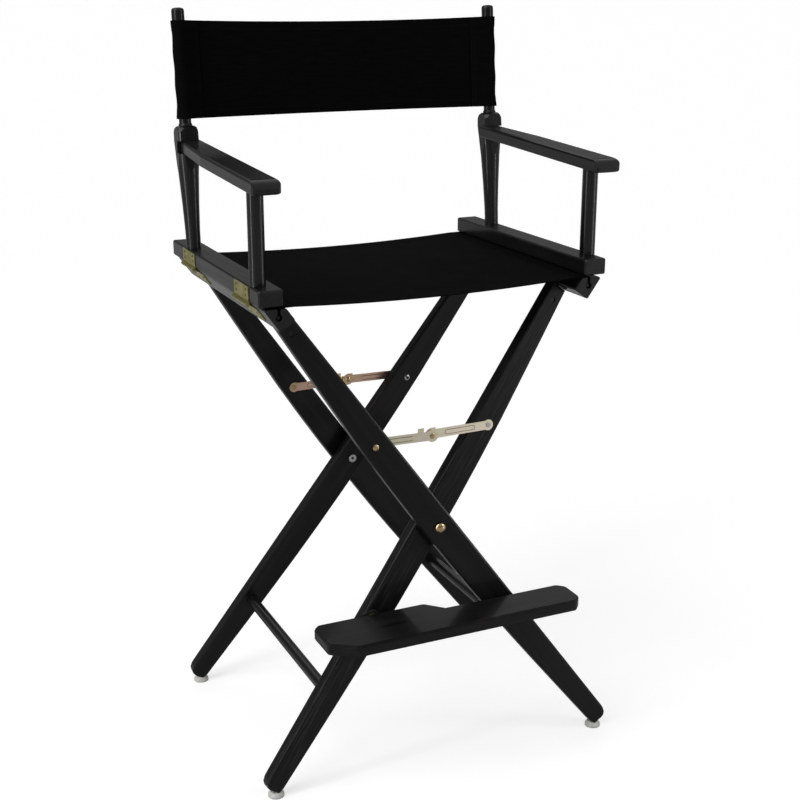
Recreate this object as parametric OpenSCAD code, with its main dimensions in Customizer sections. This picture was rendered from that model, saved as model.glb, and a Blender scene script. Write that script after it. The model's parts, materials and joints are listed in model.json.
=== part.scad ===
// Folding director chair, bar height: two X frames, slung seat, sleeved back and a hinged footrest.
// Millimetres, +Z up, the front of the chair faces -Y, the floor is Z = 0.

/* [Frames] */
// Height of the two crossing pivots above the floor (mm)
pivot_height = 404; // [380:1:430]
// Lean of every leg away from upright, in the open chair (deg)
leg_lean = 35.8; // [30:0.1:40]
// Splay of the front and rear leg pairs towards the floor (deg)
leg_splay = 4.5; // [0:0.1:8]
// Leg length above the crossing pivot, up to the seat rail (mm)
leg_up = 425; // [400:1:450]
// Leg length below the crossing pivot (mm)
leg_down = 489; // [460:1:500]
// Thickness of the leg boards (mm)
leg_t = 22; // [18:0.5:26]
// Gap between crossing legs, where the braces run (mm)
leg_gap = 6; // [5:0.5:9]
// Centre of the outer leg boards, front and rear, at the pivots (mm)
outer_y = 191.5; // [170:0.5:210]
// Radius taken off the long edges of the leg boards (mm)
leg_round = 3; // [1:0.5:5]
// Diameter of the stretchers near the feet (mm)
stretcher_d = 19; // [16:0.5:24]
// Distance of the stretchers below the pivots, along the leg (mm)
stretcher_s = 316; // [280:1:360]

/* [Seat] */
// Front end of the seat rails and the arm rails (mm)
rail_front = -200; // [-215:1:-170]
// Rear end of the seat rails and the arm rails (mm)
rail_rear = 235; // [200:1:250]
// Height of the top of the seat rails (mm)
rail_top = 779; // [760:1:790]
// Thickness of the seat rails, across the leg (mm)
rail_t = 28; // [22:0.5:32]
// Thickness of the seat canvas (mm)
canvas_t = 1.4; // [1:0.1:2.5]
// Sag of the middle of the seat canvas (mm)
seat_sag = 6; // [0:1:25]

/* [Arms and back] */
// Outer face of the arm rails, from the middle of the chair (mm)
arm_x = 286; // [270:1:300]
// Width of the arm rails (mm)
arm_rail_w = 38; // [30:0.5:44]
// Height of the arm rails (mm)
arm_rail_h = 25; // [20:0.5:30]
// Gap between the seat rail and the arm rail (mm)
arm_gap = 3; // [2.5:0.5:5]
// Top of the armrests above the floor, at the front posts (mm)
armrest_top = 964; // [940:1:980]
// Rise of the armrests towards the back (deg)
armrest_rise = 2.6; // [0:0.1:4]
// Thickness of the armrests (mm)
armrest_t = 20; // [16:0.5:24]
// Width of the armrests over their front two thirds (mm)
armrest_w = 43; // [36:0.5:55]
// Front end of the armrests (mm)
armrest_front = -214; // [-235:1:-190]
// Diameter of the round front posts (mm)
post_d = 24; // [20:0.5:28]
// Position of the front posts (mm)
post_front_y = -163; // [-180:1:-140]
// Position of the foot of the rear posts (mm)
post_rear_y = 152; // [130:1:170]
// Rake of the rear posts (deg)
post_rake = 4.9; // [0:0.1:10]
// Overall height of the chair (mm)
chair_height = 1181; // [1150:1:1210]
// Height of the shoulder of the rear posts (mm)
shoulder_z = 1001; // [980:1:1010]
// Bottom of the back canvas (mm)
back_bottom = 1011; // [1000:1:1030]
// Top of the back canvas (mm)
back_top = 1161; // [1140:1:1175]

/* [Braces] */
// Distance of the brace rivets above the pivots, along the leg (mm)
brace_s = 176; // [160:1:200]
// Width of the folding brace straps (mm)
strap_w = 17.5; // [14:0.5:22]
// Thickness of the folding brace straps (mm)
strap_t = 1.2; // [1:0.1:1.6]

/* [Footrest] */
// Height of the top of the footrest (mm)
foot_top = 276; // [250:1:300]
// Thickness of the footrest (mm)
foot_t = 19; // [15:0.5:24]
// Half length of the footrest (mm)
foot_half = 215; // [190:1:230]
// Front edge of the footrest (mm)
foot_front = -288; // [-300:1:-270]

/* [Hidden] */
$fn = 48;
sh = 22.5;                                  // moves the whole chair so it is centred front to back
A = -1;                                     // frame A leans top left to bottom right
B = 1;                                      // frame B leans top right to bottom left
F = -1;                                     // front
R = 1;                                      // rear
inner_y = outer_y - leg_t - leg_gap;
sa = sin(leg_lean);
ca = cos(leg_lean);
eps = 0.01;
rail_s = leg_up;                            // the seat rail sits on the square leg end
rn0 = -7;                                   // seat rail, offsets across the leg
rn1 = rn0 + rail_t;
arm_z0 = rail_top + arm_gap;
arm_z1 = arm_z0 + arm_rail_h;
post_x = arm_x - post_d/2;
kx = arm_x + 2.6;                           // hinge pin of the arms
kz = rail_top + 1.6;
brace_len = brace_s*sa*sqrt(1 + pow(sa*tan(leg_splay), 2));
dip = atan(tan(leg_lean)/cos(leg_splay));   // level line seen in the plane of a leg
st_n = 3;                                   // stretcher offset across the leg
foot_s = 177;                               // footrest pivot along the inner front leg
foot_n = 12;

// ---- helpers -------------------------------------------------------------
function rail_s_top(n) = (rail_top - pivot_height - n*sa)/ca;      // distance up the leg to the rail top
function wx(side, n, s) = side*(s*sa - n*ca);                      // world x at n across, s up the leg
function wz(n, s) = pivot_height + s*ca + n*sa;
slot_c = -wx(A, rn0, rail_s_top(rn0)) - 23;                        // slot centre from the middle

module world() { translate([0, sh, 0]) children(); }
// leg frame: local Z runs up the leg, local X across it, local Y through the board
module in_leg(side, fr) {
  translate([0, fr*(side == A ? outer_y : inner_y), pivot_height])
    rotate([fr*leg_splay, side*leg_lean, 0])
      mirror([side == B ? 1 : 0, 0, 0]) children();
}
module y_cyl(d, y0, y1) { translate([0, y0, 0]) rotate([-90, 0, 0]) cylinder(d = d, h = y1 - y0); }
// a shape drawn in XZ and pushed along Y
module xz(y0, y1) { translate([0, y1, 0]) rotate([90, 0, 0]) linear_extrude(y1 - y0) children(); }
module mir(s) { mirror([s == B ? 1 : 0, 0, 0]) children(); }

module leg_outline() {
  polygon([[25, leg_up], [-4, leg_up], [-5, 408], [-10, 337], [-14.5, 266], [-19, 194], [-21.8, 122],
    [-23.4, 50], [-23.8, 0], [-23.6, -60], [-22.8, -132], [-21, -200], [-18.6, -260], [-16, -315],
    [-12, -388], [-9, -443], [-7, -478], [-4, -leg_down + 1], [12, -leg_down], [18, -leg_down + 1.5],
    [22.5, -leg_down + 6], [24.6, -leg_down + 13], [25, -leg_down + 20]]);
}
module leg_board() {
  hull() {
    xz(-leg_t/2 + leg_round, leg_t/2 - leg_round) leg_outline();
    xz(-leg_t/2 + 0.9, leg_t/2 - 0.9) offset(delta = -0.9) leg_outline();
    xz(-leg_t/2, leg_t/2) offset(delta = -leg_round) leg_outline();
  }
}
module leg(side, fr) {
  difference() {
    intersection() {
      in_leg(side, fr) leg_board();
      translate([-500, -500, 9]) cube([1000, 1000, 1200]);
    }
    // crossing pivot
    translate([0, 0, pivot_height]) y_cyl(8.12, fr*(outer_y - 14) - 60, fr*(outer_y - 14) + 60);
    // brace rivet
    in_leg(side, fr) translate([0, 0, brace_s]) y_cyl(5.1, -30, 30);
    // stretcher socket, open towards the other end of the chair
    translate([wx(side, st_n, -stretcher_s), 0, wz(st_n, -stretcher_s*cos(leg_splay))])
      y_cyl(stretcher_d + 0.1, fr == F ? -sock(side) : 0, fr == F ? 0 : sock(side));
    // cross nut and its bolt
    in_leg(side, fr) { translate([9, 0, leg_up - 24]) y_cyl(8.1, -30, 30);
      translate([9, 0, leg_up - 30]) cylinder(d = 6.2, h = 60); }
    if (side == B && fr == F) in_leg(B, F) translate([foot_n, 0, -foot_s]) y_cyl(6.1, -30, 30);
  }
}
function sock(side) = (side == A ? outer_y : inner_y) + stretcher_s*sin(leg_splay) + 1;

// ---- frames --------------------------------------------------------------
module rail_outline() {
  offset(r = 3) offset(delta = -3) polygon([
    [wx(A, rn0, rail_s), wz(rn0, rail_s)], [wx(A, rn1, rail_s), wz(rn1, rail_s)],
    [wx(A, rn1, rail_s_top(rn1)), rail_top], [wx(A, rn0, rail_s_top(rn0)), rail_top]]);
}
module seat_rail(side) {
  color("#1b1a19") world() difference() {
    mir(side) xz(rail_front, rail_rear) difference() {
      rail_outline();
      translate([-slot_c - 2.5, rail_top - 10]) square([5, 20]);
      translate([-slot_c, rail_top - 13]) circle(d = 10);
    }
    for (fr = [F, R]) in_leg(side, fr) translate([9, 0, leg_up - 30]) cylinder(d = 6.2, h = 42);
  }
}
module hem_rod(side) {
  color("#8f8d88") world() translate([(side == A ? -1 : 1)*slot_c, 0, rail_top - 13])
    y_cyl(5, rail_front + 3, rail_rear - 3);
}
module stretcher(side) {
  e = sock(side) - 1.2;
  color("#1b1a19") world() translate([wx(side, st_n, -stretcher_s), 0, wz(st_n, -stretcher_s*cos(leg_splay))])
    y_cyl(stretcher_d, -e, e);
}
module glides(side) {
  color("#cfcdc6") world() for (fr = [F, R])
    translate([wx(side, 2.2, -480), fr*((side == A ? outer_y : inner_y) + 486*sin(leg_splay)), 0]) {
      cylinder(d = 26, h = 3.6);
      translate([0, 0, 3.6]) cylinder(d1 = 26, d2 = 19, h = 5.4);
    }
}
module leg_bolts(side) {
  color("#6d6a64") world() for (fr = [F, R]) in_leg(side, fr) {
    translate([9, 0, leg_up - 24]) y_cyl(8, -leg_t/2 + 1.5, leg_t/2 - 1.5);
    translate([9, 0, leg_up - 24]) cylinder(d = 6, h = 34);
  }
}
module brace_rivets(side) {
  // A: head outside the leg, tail through the strap; B: ring on the strap, tail out of the leg
  o = leg_t/2 + 1;
  color("#b98a4a") world() for (fr = [F, R]) in_leg(side, fr) translate([0, 0, brace_s])
    mirror([0, (fr == F) == (side == A) ? 0 : 1, 0]) {
      y_cyl(5, -leg_t/2, o + strap_t + 1.4);
      hull() { y_cyl(10, -leg_t/2 - 0.8, -leg_t/2); y_cyl(5, -leg_t/2 - 2.2, -leg_t/2); }
      y_cyl(8, leg_t/2, o - 0.3);
      y_cyl(8, o + strap_t + 0.3, o + strap_t + 1.2);
    }
}
module lower_hinges(side) {
  color("#c9a24a") world() mir(side) for (yc = [-127, 138]) translate([0, yc, 0]) {
    // leaf on the leaning outer face of the seat rail
    translate([wx(A, rn0, rail_s), 0, wz(rn0, rail_s)]) rotate([0, -leg_lean, 0])
      translate([-1.5, -32, 12]) cube([1.5, 64, 24]);
    hull() {
      translate([wx(A, rn0, rail_s), 0, wz(rn0, rail_s)]) rotate([0, -leg_lean, 0])
        translate([-1.5, -11.8, 34]) cube([1.5, 23.6, 2]);
      translate([-kx - 0.4, 0, kz - 1.2]) y_cyl(2.4, -11.8, 11.8);
    }
    translate([-kx, 0, kz]) { y_cyl(6, -11.8, 11.8); y_cyl(2.6, -32.6, 32.6); }
  }
}
module upper_hinges(side) {
  color("#c9a24a") world() mir(side) for (yc = [-127, 138]) translate([0, yc, 0]) difference() {
    union() {
      translate([-arm_x - 1.5, -32, arm_z0 + 0.6]) cube([1.5, 64, 23]);
      for (s = [-1, 1]) {
        translate([-kx, s*22.1, kz]) y_cyl(6, -9.9, 9.9);
        translate([-kx - 0.2, s*22.1 - 9.9, kz]) cube([2.6, 19.8, 4]);
      }
    }
    translate([-kx, 0, kz]) y_cyl(2.76, -40, 40);
    translate([-kx, 0, kz]) y_cyl(7.2, -12.2, 12.2);
  }
}

// ---- pivots --------------------------------------------------------------
module pivot_bolt(fr) {
  o = outer_y + leg_t/2; i = inner_y - leg_t/2;
  color("#b98a4a") world() mirror([0, fr == R ? 1 : 0, 0]) translate([0, 0, pivot_height]) {
    y_cyl(8, -o - 2, -i + 2);
    y_cyl(20, -(outer_y + inner_y)/2 - 1.8, -(outer_y + inner_y)/2 + 1.8);
    translate([0, -o - 1.1, 0]) rotate([90, 0, 0]) rotate_extrude()
      polygon([[0, 0], [8.5, 0], [8.5, 0.8], [7.6, 2.4], [5.4, 3.8], [2.6, 4.6], [0, 4.8]]);
    difference() { y_cyl(14, -i + 1.1, -i + 3.4); y_cyl(6, -i + 2.6, -i + 5); }
  }
}

// ---- seat ----------------------------------------------------------------
module seat_sling() {
  n = 12;
  w = slot_c;
  top = [for (i = [0:n]) let (x = -w + 2*w*i/n, u = x/w) [x, rail_top + 0.35 + canvas_t - seat_sag*bow(u)]];
  bot = [for (i = [n:-1:0]) [top[i][0], top[i][1] - canvas_t]];
  color("#141414") world() {
    xz(rail_front + 2, rail_rear - 2) polygon(concat(top, bot));
    for (s = [-1, 1]) xz(rail_front + 2, rail_rear - 2) difference() {
      union() {
        translate([s*w - canvas_t/2, rail_top - 10]) square([canvas_t, 10.35 + canvas_t]);
        translate([s*w, rail_top - 13]) circle(d = 8.4);
      }
      translate([s*w, rail_top - 13]) circle(d = 5.4);
    }
  }
}
function bow(u) = abs(u) > 0.9 ? 0 : 1 - pow(u/0.9, 2);

// ---- arms and back -------------------------------------------------------
module arm_rail(side) {
  color("#1b1a19") world() mir(side) hull() {
    translate([-arm_x, rail_front + 2, arm_z0 + 2]) cube([arm_rail_w, rail_rear - rail_front - 4, arm_rail_h - 4]);
    translate([-arm_x + 2, rail_front, arm_z0 + 2]) cube([arm_rail_w - 4, rail_rear - rail_front, arm_rail_h - 4]);
    translate([-arm_x + 2, rail_front + 2, arm_z0]) cube([arm_rail_w - 4, rail_rear - rail_front - 4, arm_rail_h]);
  }
}
// turned with the armrests, about the top of the front posts
module risen() {
  translate([0, post_front_y, armrest_top - armrest_t]) rotate([armrest_rise, 0, 0])
    translate([0, -post_front_y, armrest_t - armrest_top]) children();
}
module post_front(side) {
  color("#1b1a19") world() mir(side) difference() {
    translate([-post_x, post_front_y, arm_z1]) cylinder(d = post_d, h = armrest_top - armrest_t - arm_z1 + 2);
    risen() translate([-post_x - 40, post_front_y - 40, armrest_top - armrest_t]) cube([80, 80, 30]);
  }
}
module raked() {
  translate([-post_x, post_rear_y, arm_z1]) rotate([-post_rake, 0, 0]) children();
}
module post_rear(side) {
  hs = (shoulder_z - arm_z1)/cos(post_rake);
  ht = (chair_height - arm_z1)/cos(post_rake) - 0.8;
  color("#1b1a19") world() mir(side) difference() {
    intersection() {
      raked() union() {
        intersection() {
          translate([0, 0, -4]) rotate_extrude() polygon([[0, 0], [11.7, 0], [11.9, 30], [13.6, 75],
            [16.4, 125], [19.6, 160], [21.5, 175], [21, hs - 6], [18, hs], [14, hs + 3], [0, hs + 4]]);
          translate([-16.5, -16.5, -5]) cube([33, 33, hs + 20]);
        }
        rotate_extrude() polygon([[0, hs - 8], [11, hs - 2], [11, hs + 1], [9.7, hs + 3], [9.7, hs + 10],
          [10, hs + 12], [10, ht - 4.5], [9.2, ht - 2], [7.4, ht - 0.6], [5, ht], [0, ht]]);
      }
      translate([-600, -600, arm_z1]) cube([1200, 1200, 900]);
    }
    // the rear end of the armrest is let into the front half
    risen() translate([-post_x - 40, post_rear_y - 60, armrest_top - armrest_t])
      cube([80, 60 + tan(post_rake)*(armrest_top - arm_z1) - 1, armrest_t]);
  }
}
arm_in = post_x - 22;                        // inner edge of the armrests
arm_rear_y = post_rear_y + tan(post_rake)*(armrest_top - arm_z1) - 1;
module armrest_plan(d) {
  offset(r = 5) offset(delta = -5 - d) polygon([[-arm_in, armrest_front], [-arm_in, arm_rear_y + 5 + d],
    [-arm_in - 33, arm_rear_y + 5 + d], [-arm_in - 34, arm_rear_y - 30], [-arm_in - 38.5, arm_rear_y - 80],
    [-arm_in - armrest_w, arm_rear_y - 140], [-arm_in - armrest_w, armrest_front]]);
}
module armrest(side) {
  z0 = armrest_top - armrest_t;
  color("#1b1a19") world() mir(side) risen() intersection() {
    hull() {
      translate([0, 0, z0 + 2.5]) linear_extrude(armrest_t - 6.5) armrest_plan(0);
      translate([0, 0, z0 + 1]) linear_extrude(armrest_t - 2.2) armrest_plan(1.2);
      translate([0, 0, z0]) linear_extrude(armrest_t) armrest_plan(3.4);
    }
    union() {
      translate([-400, armrest_front + 16, z0 - 1]) cube([400, arm_rear_y - armrest_front - 16, armrest_t + 2]);
      // rounded nose
      translate([-400, armrest_front + 17, z0 + 1]) rotate([0, 90, 0]) cylinder(r = 18.5, h = 400);
    }
  }
}
module back_sling() {
  h0 = (back_bottom - arm_z1)/cos(post_rake);
  h1 = (back_top - arm_z1)/cos(post_rake);
  color("#141414") world() {
    for (s = [A, B]) mir(s) raked() translate([0, 0, h0]) difference() {
      cylinder(r = 12, h = h1 - h0);
      translate([0, 0, -1]) cylinder(r = 10.6, h = h1 - h0 + 2);
    }
    difference() {
      raked() translate([0, 5, h0]) cube([2*post_x, 2.4, h1 - h0]);
      for (s = [A, B]) mir(s) raked() cylinder(r = 11, h = 500);
    }
  }
}

// ---- folding braces ------------------------------------------------------
// strap drawn in the plane of its leg, from the leg rivet at the origin to the centre
module strap_outline(hook) {
  difference() {
    union() {
      circle(d = strap_w);
      translate([0, -strap_w/2 + 1.5]) square([brace_len, strap_w - 3]);
      translate([brace_len, 0]) circle(d = strap_w + 2);
      if (hook) translate([brace_len - 24, 2]) square([10, strap_w/2 + 3]);
      if (!hook) translate([brace_len - 8, 0]) square([10, strap_w/2 + 1.5]);
    }
    circle(d = 5.12);
    translate([brace_len, 0]) circle(d = 5.04);
  }
}
module brace(side, fr) {
  y0 = leg_t/2 + 1;                                     // first face of the strap from the leg centre
  color("#c79a86") world() in_leg(side, fr) translate([0, 0, brace_s])
    mirror([0, (fr == F) == (side == A) ? 0 : 1, 0]) rotate([0, dip, 0]) {
      xz(y0, y0 + strap_t) strap_outline(side == A);
      // pressed rib
      if (side == A) hull() for (x = [26, brace_len - 34]) translate([x, 0, 0]) y_cyl(5, y0 - 0.6, y0 + eps);
      if (side == B) hull() for (x = [26, brace_len - 26]) translate([x, 0, 0]) y_cyl(5, y0 - 0.6, y0 + eps);
    }
}
// The centre pin, in two halves that meet between the straps: one half rides on each strap
module at_brace_centre(side, fr) {
  in_leg(side, fr) translate([0, 0, brace_s]) mirror([0, (fr == F) == (side == A) ? 0 : 1, 0])
    rotate([0, dip, 0]) translate([brace_len, 0, 0]) children();
}
module brace_pin(side, fr) {
  y0 = leg_t/2 + 1;
  color("#b98a4a") world() at_brace_centre(side, fr) {
    y_cyl(5, y0 - 0.4, y0 + strap_t + 0.4);
    translate([0, y0 - 0.02, 0]) rotate([90, 0, 0]) rotate_extrude()
      polygon([[0, 0], [4.6, 0], [4.2, 0.7], [3, 1.4], [1.4, 1.8], [0, 1.8]]);
  }
}

// ---- footrest ------------------------------------------------------------
foot_wide = -195;                            // rear edge where it reaches the inner leg
foot_narrow = -222;                          // rear edge in front of the outer leg
foot_step = -25;                             // where the wide part ends, clear of the outer leg as it folds
module foot_plan(d) {
  offset(r = 8) offset(delta = -8 - d) polygon([[-foot_half, foot_front + 26], [-foot_half + 40, foot_front],
    [foot_half - 12, foot_front], [foot_half, foot_front + 14], [foot_half, foot_narrow - 12],
    [foot_half - 12, foot_narrow], [foot_step + 26, foot_narrow], [foot_step, foot_wide], [-foot_half + 10, foot_wide],
    [-foot_half, foot_wide - 10]]);
}
module footrest() {
  z0 = foot_top - foot_t;
  color("#1b1a19") world() {
    translate([0, 0, z0 + 3]) linear_extrude(foot_t - 6) foot_plan(0);
    translate([0, 0, z0 + 1]) linear_extrude(foot_t - 2) foot_plan(1);
    translate([0, 0, z0]) linear_extrude(foot_t) foot_plan(3);
  }
}
module footrest_bracket() {
  z0 = foot_top - foot_t;
  px = wx(B, foot_n, -foot_s);
  color("#3a3836") world() {
    in_leg(B, F) translate([foot_n, 0, -foot_s]) difference() {
      rotate([0, -leg_lean, 0]) union() {
        y_cyl(22, -leg_t/2 - 3.2, -leg_t/2 - 1.2);
        translate([-11, -leg_t/2 - 3.2, -14]) cube([22, 2, 14]);
      }
      y_cyl(6.12, -leg_t, 0);
    }
    translate([px - 17, foot_wide - 42, z0 - 2]) cube([34, 46, 2]);
  }
}
module footrest_pivot() {
  color("#b98a4a") world() in_leg(B, F) translate([foot_n, 0, -foot_s]) {
    y_cyl(6, -leg_t/2 - 3.6, leg_t/2);
    y_cyl(11, -leg_t/2 - 5, -leg_t/2 - 3.5);
    y_cyl(9, -leg_t/2 - 0.9, -leg_t/2);
    y_cyl(11, leg_t/2, leg_t/2 + 1.4);
  }
}
module footrest_cleat() {
  x = 103; z = foot_top - foot_t - 0.4;
  color("#3a3836") world() difference() {
    union() {
      translate([x - 15, -246, z - 3]) cube([30, 36, 3]);
      in_leg(A, F) rotate([0, leg_lean, 0]) translate([88, -leg_t/2 - 2.5, -178]) cube([30, 5, 29]);
    }
    in_leg(A, F) translate([-80, -leg_t/2, -400]) cube([160, 60, 800]);
  }
}

// ---- nodes ---------------------------------------------------------------
module pivot_bolt_front() pivot_bolt(F);
module pivot_bolt_rear() pivot_bolt(R);
module leg_front_a() color("#1b1a19") world() leg(A, F);
module leg_rear_a() color("#1b1a19") world() leg(A, R);
module seat_rail_a() seat_rail(A);
module stretcher_a() stretcher(A);
module glides_a() glides(A);
module leg_bolts_a() leg_bolts(A);
module brace_rivets_a() brace_rivets(A);
module lower_hinges_a() lower_hinges(A);
module hem_rod_a() hem_rod(A);
module leg_front_b() color("#1b1a19") world() leg(B, F);
module leg_rear_b() color("#1b1a19") world() leg(B, R);
module seat_rail_b() seat_rail(B);
module stretcher_b() stretcher(B);
module glides_b() glides(B);
module leg_bolts_b() leg_bolts(B);
module brace_rivets_b() brace_rivets(B);
module lower_hinges_b() lower_hinges(B);
module hem_rod_b() hem_rod(B);
module arm_rail_left() arm_rail(A);
module post_front_left() post_front(A);
module post_rear_left() post_rear(A);
module armrest_left() armrest(A);
module upper_hinges_left() upper_hinges(A);
module arm_rail_right() arm_rail(B);
module post_front_right() post_front(B);
module post_rear_right() post_rear(B);
module armrest_right() armrest(B);
module upper_hinges_right() upper_hinges(B);
module brace_front_a() brace(A, F);
module brace_front_b() brace(B, F);
module brace_rear_a() brace(A, R);
module brace_rear_b() brace(B, R);
module brace_pin_front_a() brace_pin(A, F);
module brace_pin_front_b() brace_pin(B, F);
module brace_pin_rear_a() brace_pin(A, R);
module brace_pin_rear_b() brace_pin(B, R);

pivot_bolt_front();
pivot_bolt_rear();
leg_front_a();
leg_rear_a();
seat_rail_a();
stretcher_a();
glides_a();
leg_bolts_a();
brace_rivets_a();
lower_hinges_a();
hem_rod_a();
footrest_cleat();
leg_front_b();
leg_rear_b();
seat_rail_b();
stretcher_b();
glides_b();
leg_bolts_b();
brace_rivets_b();
lower_hinges_b();
hem_rod_b();
footrest_pivot();
seat_sling();
arm_rail_left();
post_front_left();
post_rear_left();
armrest_left();
upper_hinges_left();
arm_rail_right();
post_front_right();
post_rear_right();
armrest_right();
upper_hinges_right();
back_sling();
brace_front_a();
brace_front_b();
brace_rear_a();
brace_rear_b();
brace_pin_front_a();
brace_pin_front_b();
brace_pin_rear_a();
brace_pin_rear_b();
footrest();
footrest_bracket();
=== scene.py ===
# %% [markdown]
# # A folding director chair, bar height
#
# The chair is two wooden X frames under a slung canvas seat, two arm assemblies that hinge on the
# seat rails, a canvas back between the rear posts, and a hinged footrest. The wood, the hinges and
# the braces come exactly sized from the CAD frame. This lesson gives them their finishes, makes the
# canvas as real cloth with sewn hems, and adds the small hardware.
#
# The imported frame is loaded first. Its objects sit at the origin with their place in the mesh, so
# everything below is placed by asking the frame where things are.

# %% Load the frame
import json
import math

import bpy
from mathutils import Matrix, Vector


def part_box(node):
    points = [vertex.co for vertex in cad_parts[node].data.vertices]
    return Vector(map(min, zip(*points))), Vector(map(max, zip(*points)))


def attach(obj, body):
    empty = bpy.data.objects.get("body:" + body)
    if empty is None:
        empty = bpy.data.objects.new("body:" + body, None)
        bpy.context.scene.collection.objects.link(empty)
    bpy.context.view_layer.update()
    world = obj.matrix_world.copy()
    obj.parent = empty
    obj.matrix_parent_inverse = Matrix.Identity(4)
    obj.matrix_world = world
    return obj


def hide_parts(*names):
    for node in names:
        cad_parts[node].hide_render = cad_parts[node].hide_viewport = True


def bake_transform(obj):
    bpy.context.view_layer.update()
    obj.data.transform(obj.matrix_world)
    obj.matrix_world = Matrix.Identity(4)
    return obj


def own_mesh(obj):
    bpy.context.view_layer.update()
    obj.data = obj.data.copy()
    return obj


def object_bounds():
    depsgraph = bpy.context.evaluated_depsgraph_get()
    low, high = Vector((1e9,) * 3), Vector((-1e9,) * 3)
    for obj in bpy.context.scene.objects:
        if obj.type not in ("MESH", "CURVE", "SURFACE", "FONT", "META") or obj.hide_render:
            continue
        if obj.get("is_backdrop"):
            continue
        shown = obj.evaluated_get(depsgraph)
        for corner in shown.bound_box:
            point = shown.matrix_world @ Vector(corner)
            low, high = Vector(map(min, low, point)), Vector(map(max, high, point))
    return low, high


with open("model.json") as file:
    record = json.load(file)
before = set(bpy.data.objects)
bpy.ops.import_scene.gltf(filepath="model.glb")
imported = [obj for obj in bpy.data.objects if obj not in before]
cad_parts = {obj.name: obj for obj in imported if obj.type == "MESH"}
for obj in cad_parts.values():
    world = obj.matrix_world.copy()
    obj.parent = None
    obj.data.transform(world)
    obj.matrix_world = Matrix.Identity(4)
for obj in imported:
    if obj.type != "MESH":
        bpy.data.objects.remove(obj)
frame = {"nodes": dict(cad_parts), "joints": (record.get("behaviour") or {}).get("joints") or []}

cad_low, cad_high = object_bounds()
nodes = frame["nodes"]
joints = {j["name"]: j for j in frame["joints"]}
print("CAD nodes:", len(nodes), "size:", [round(v, 4) for v in cad_high - cad_low])

# %% [markdown]
# ## Camera
#
# The chair is seen from in front and a little to the left, at standing height. A longish lens keeps
# the perspective mild, as in a catalogue picture. The camera could be aimed with a Track To
# constraint, but two plain angles are easier to read: how far it turns and how far it looks down.

# %% Camera
def link(name, data):
    """An object for a mesh, light or camera, in the scene."""
    thing = bpy.data.objects.new(name, data)
    bpy.context.scene.collection.objects.link(thing)
    return thing


eye = Vector((-0.8753, -1.9210, 1.2200))
turned_right = math.radians(24.65)
looking_down = math.radians(17.37)

lens = bpy.data.cameras.new("camera")
lens.lens = 60.5
lens.shift_x = 0.0052
lens.shift_y = 0.0018
lens.clip_end = 400
camera = link("camera", lens)
camera.location = eye
camera.rotation_euler = (math.pi / 2 - looking_down, 0, -turned_right)
bpy.context.scene.camera = camera
print("camera", [round(v, 2) for v in eye], "lens", lens.lens)

# %% [markdown]
# ## Floor and light
#
# A black chair is hard to light: it shows only what it reflects. Wide soft suns light the floor, and
# two tall strip lights at the sides show as thin light lines on the posts and the rounded edges. Both
# the floor and the sky are brighter where the camera sees them directly than in the light they cast,
# so the ground stays pale and the wood stays black. The stage is marked as no part of the chair.

# %% Node helpers
def feed(tree, node, inputs):
    """Sets a node's inputs. Each is a plain value, or the socket that feeds it."""
    for name, value in inputs.items():
        if isinstance(value, bpy.types.NodeSocket):
            tree.links.new(value, node.inputs[name])
        else:
            node.inputs[name].default_value = value


def add(tree, kind, inputs=None, **settings):
    """One node in a tree, with its inputs. settings are its properties."""
    node = tree.nodes.new(kind)
    for name, value in settings.items():
        setattr(node, name, value)
    feed(tree, node, inputs or {})
    return node


def maths(tree, operation, *values):
    """The result of one Math node."""
    return add(tree, "ShaderNodeMath", dict(enumerate(values)), operation=operation).outputs[0]


def material(name):
    """An empty material: its tree, its Principled shader, and its Object coordinates."""
    made = bpy.data.materials.new(name)
    made.use_nodes = True
    tree = made.node_tree
    shader = tree.nodes["Principled BSDF"]
    place = add(tree, "ShaderNodeTexCoord").outputs["Object"]
    return made, tree, shader, place


# %% Floor and sky
pale, floor_tree, floor_shader, _ = material("pale_floor")
floor_glow = 0.62
floor_seen = add(floor_tree, "ShaderNodeLightPath").outputs["Is Camera Ray"]
feed(floor_tree, floor_shader, {
    "Base Color": (0.55, 0.55, 0.55, 1), "Roughness": 0.9, "Specular IOR Level": 0.1,
    "Emission Color": (1, 1, 1, 1),
    "Emission Strength": maths(floor_tree, "MULTIPLY", floor_seen, floor_glow)})

half_floor = 90
sheet_of_floor = bpy.data.meshes.new("floor")
sheet_of_floor.from_pydata(
    [(x * half_floor, y * half_floor, 0) for x, y in ((-1, -1), (1, -1), (1, 1), (-1, 1))],
    [], [(0, 1, 2, 3)])
sheet_of_floor.materials.append(pale)
floor = link("floor", sheet_of_floor)
floor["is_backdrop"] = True

world = bpy.data.worlds.new("studio")
world.use_nodes = True
bpy.context.scene.world = world
sky = world.node_tree
sky_in_reflections = 0.13
sky_seen = add(sky, "ShaderNodeLightPath").outputs["Is Camera Ray"]
feed(sky, sky.nodes["Background"], {
    "Color": (1, 1, 1, 1), "Strength": maths(sky, "MAXIMUM", sky_seen, sky_in_reflections)})
bpy.context.scene.view_settings.view_transform = "Standard"
print("floor", 2 * half_floor, "m wide")


# %% Soft suns and strip lights
def soft_sun(name, strength, spread, turn, height):
    """A wide sun: turn is its compass angle round the chair, height its angle above the floor."""
    lamp = bpy.data.lights.new(name, "SUN")
    lamp.energy = strength
    lamp.angle = math.radians(spread)
    sun = link(name, lamp)
    sun.rotation_euler = (math.radians(90 - height), 0, math.radians(turn))


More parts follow.
